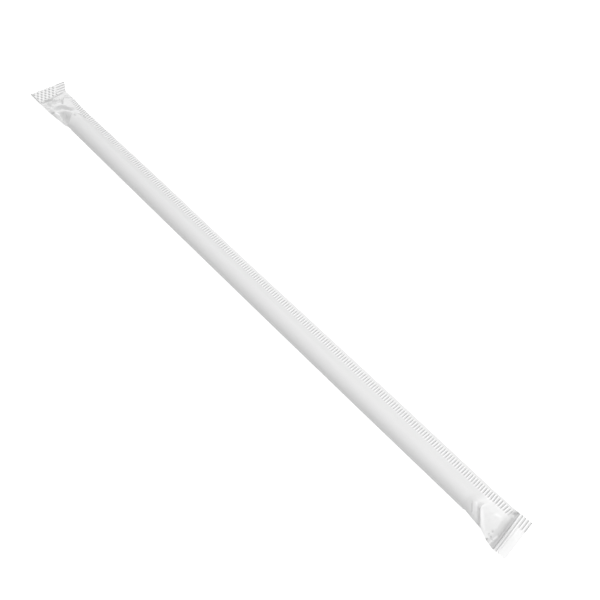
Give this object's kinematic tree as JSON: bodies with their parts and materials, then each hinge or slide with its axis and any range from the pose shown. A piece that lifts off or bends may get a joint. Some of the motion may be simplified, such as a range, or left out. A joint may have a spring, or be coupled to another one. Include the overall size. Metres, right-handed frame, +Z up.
{
  "type": "wrapped drinking straw",
  "caption": "Drinking straw sealed in a white paper wrapper, with a ridged seam along one side and a crimped flat seal at each end.",
  "frame": {"origin": "on the narrow flat along the underside of the round tube, at mid length, where the wrapper rests", "axes": "X along the straw, Y towards the long side seam, Z up"},
  "size_m": [0.2544, 0.015, 0.0062],
  "materials": {
    "paper": "matte"
  },
  "bodies": {
    "root": {"wrapped_straw": "paper"}
  },
  "joints": []
}
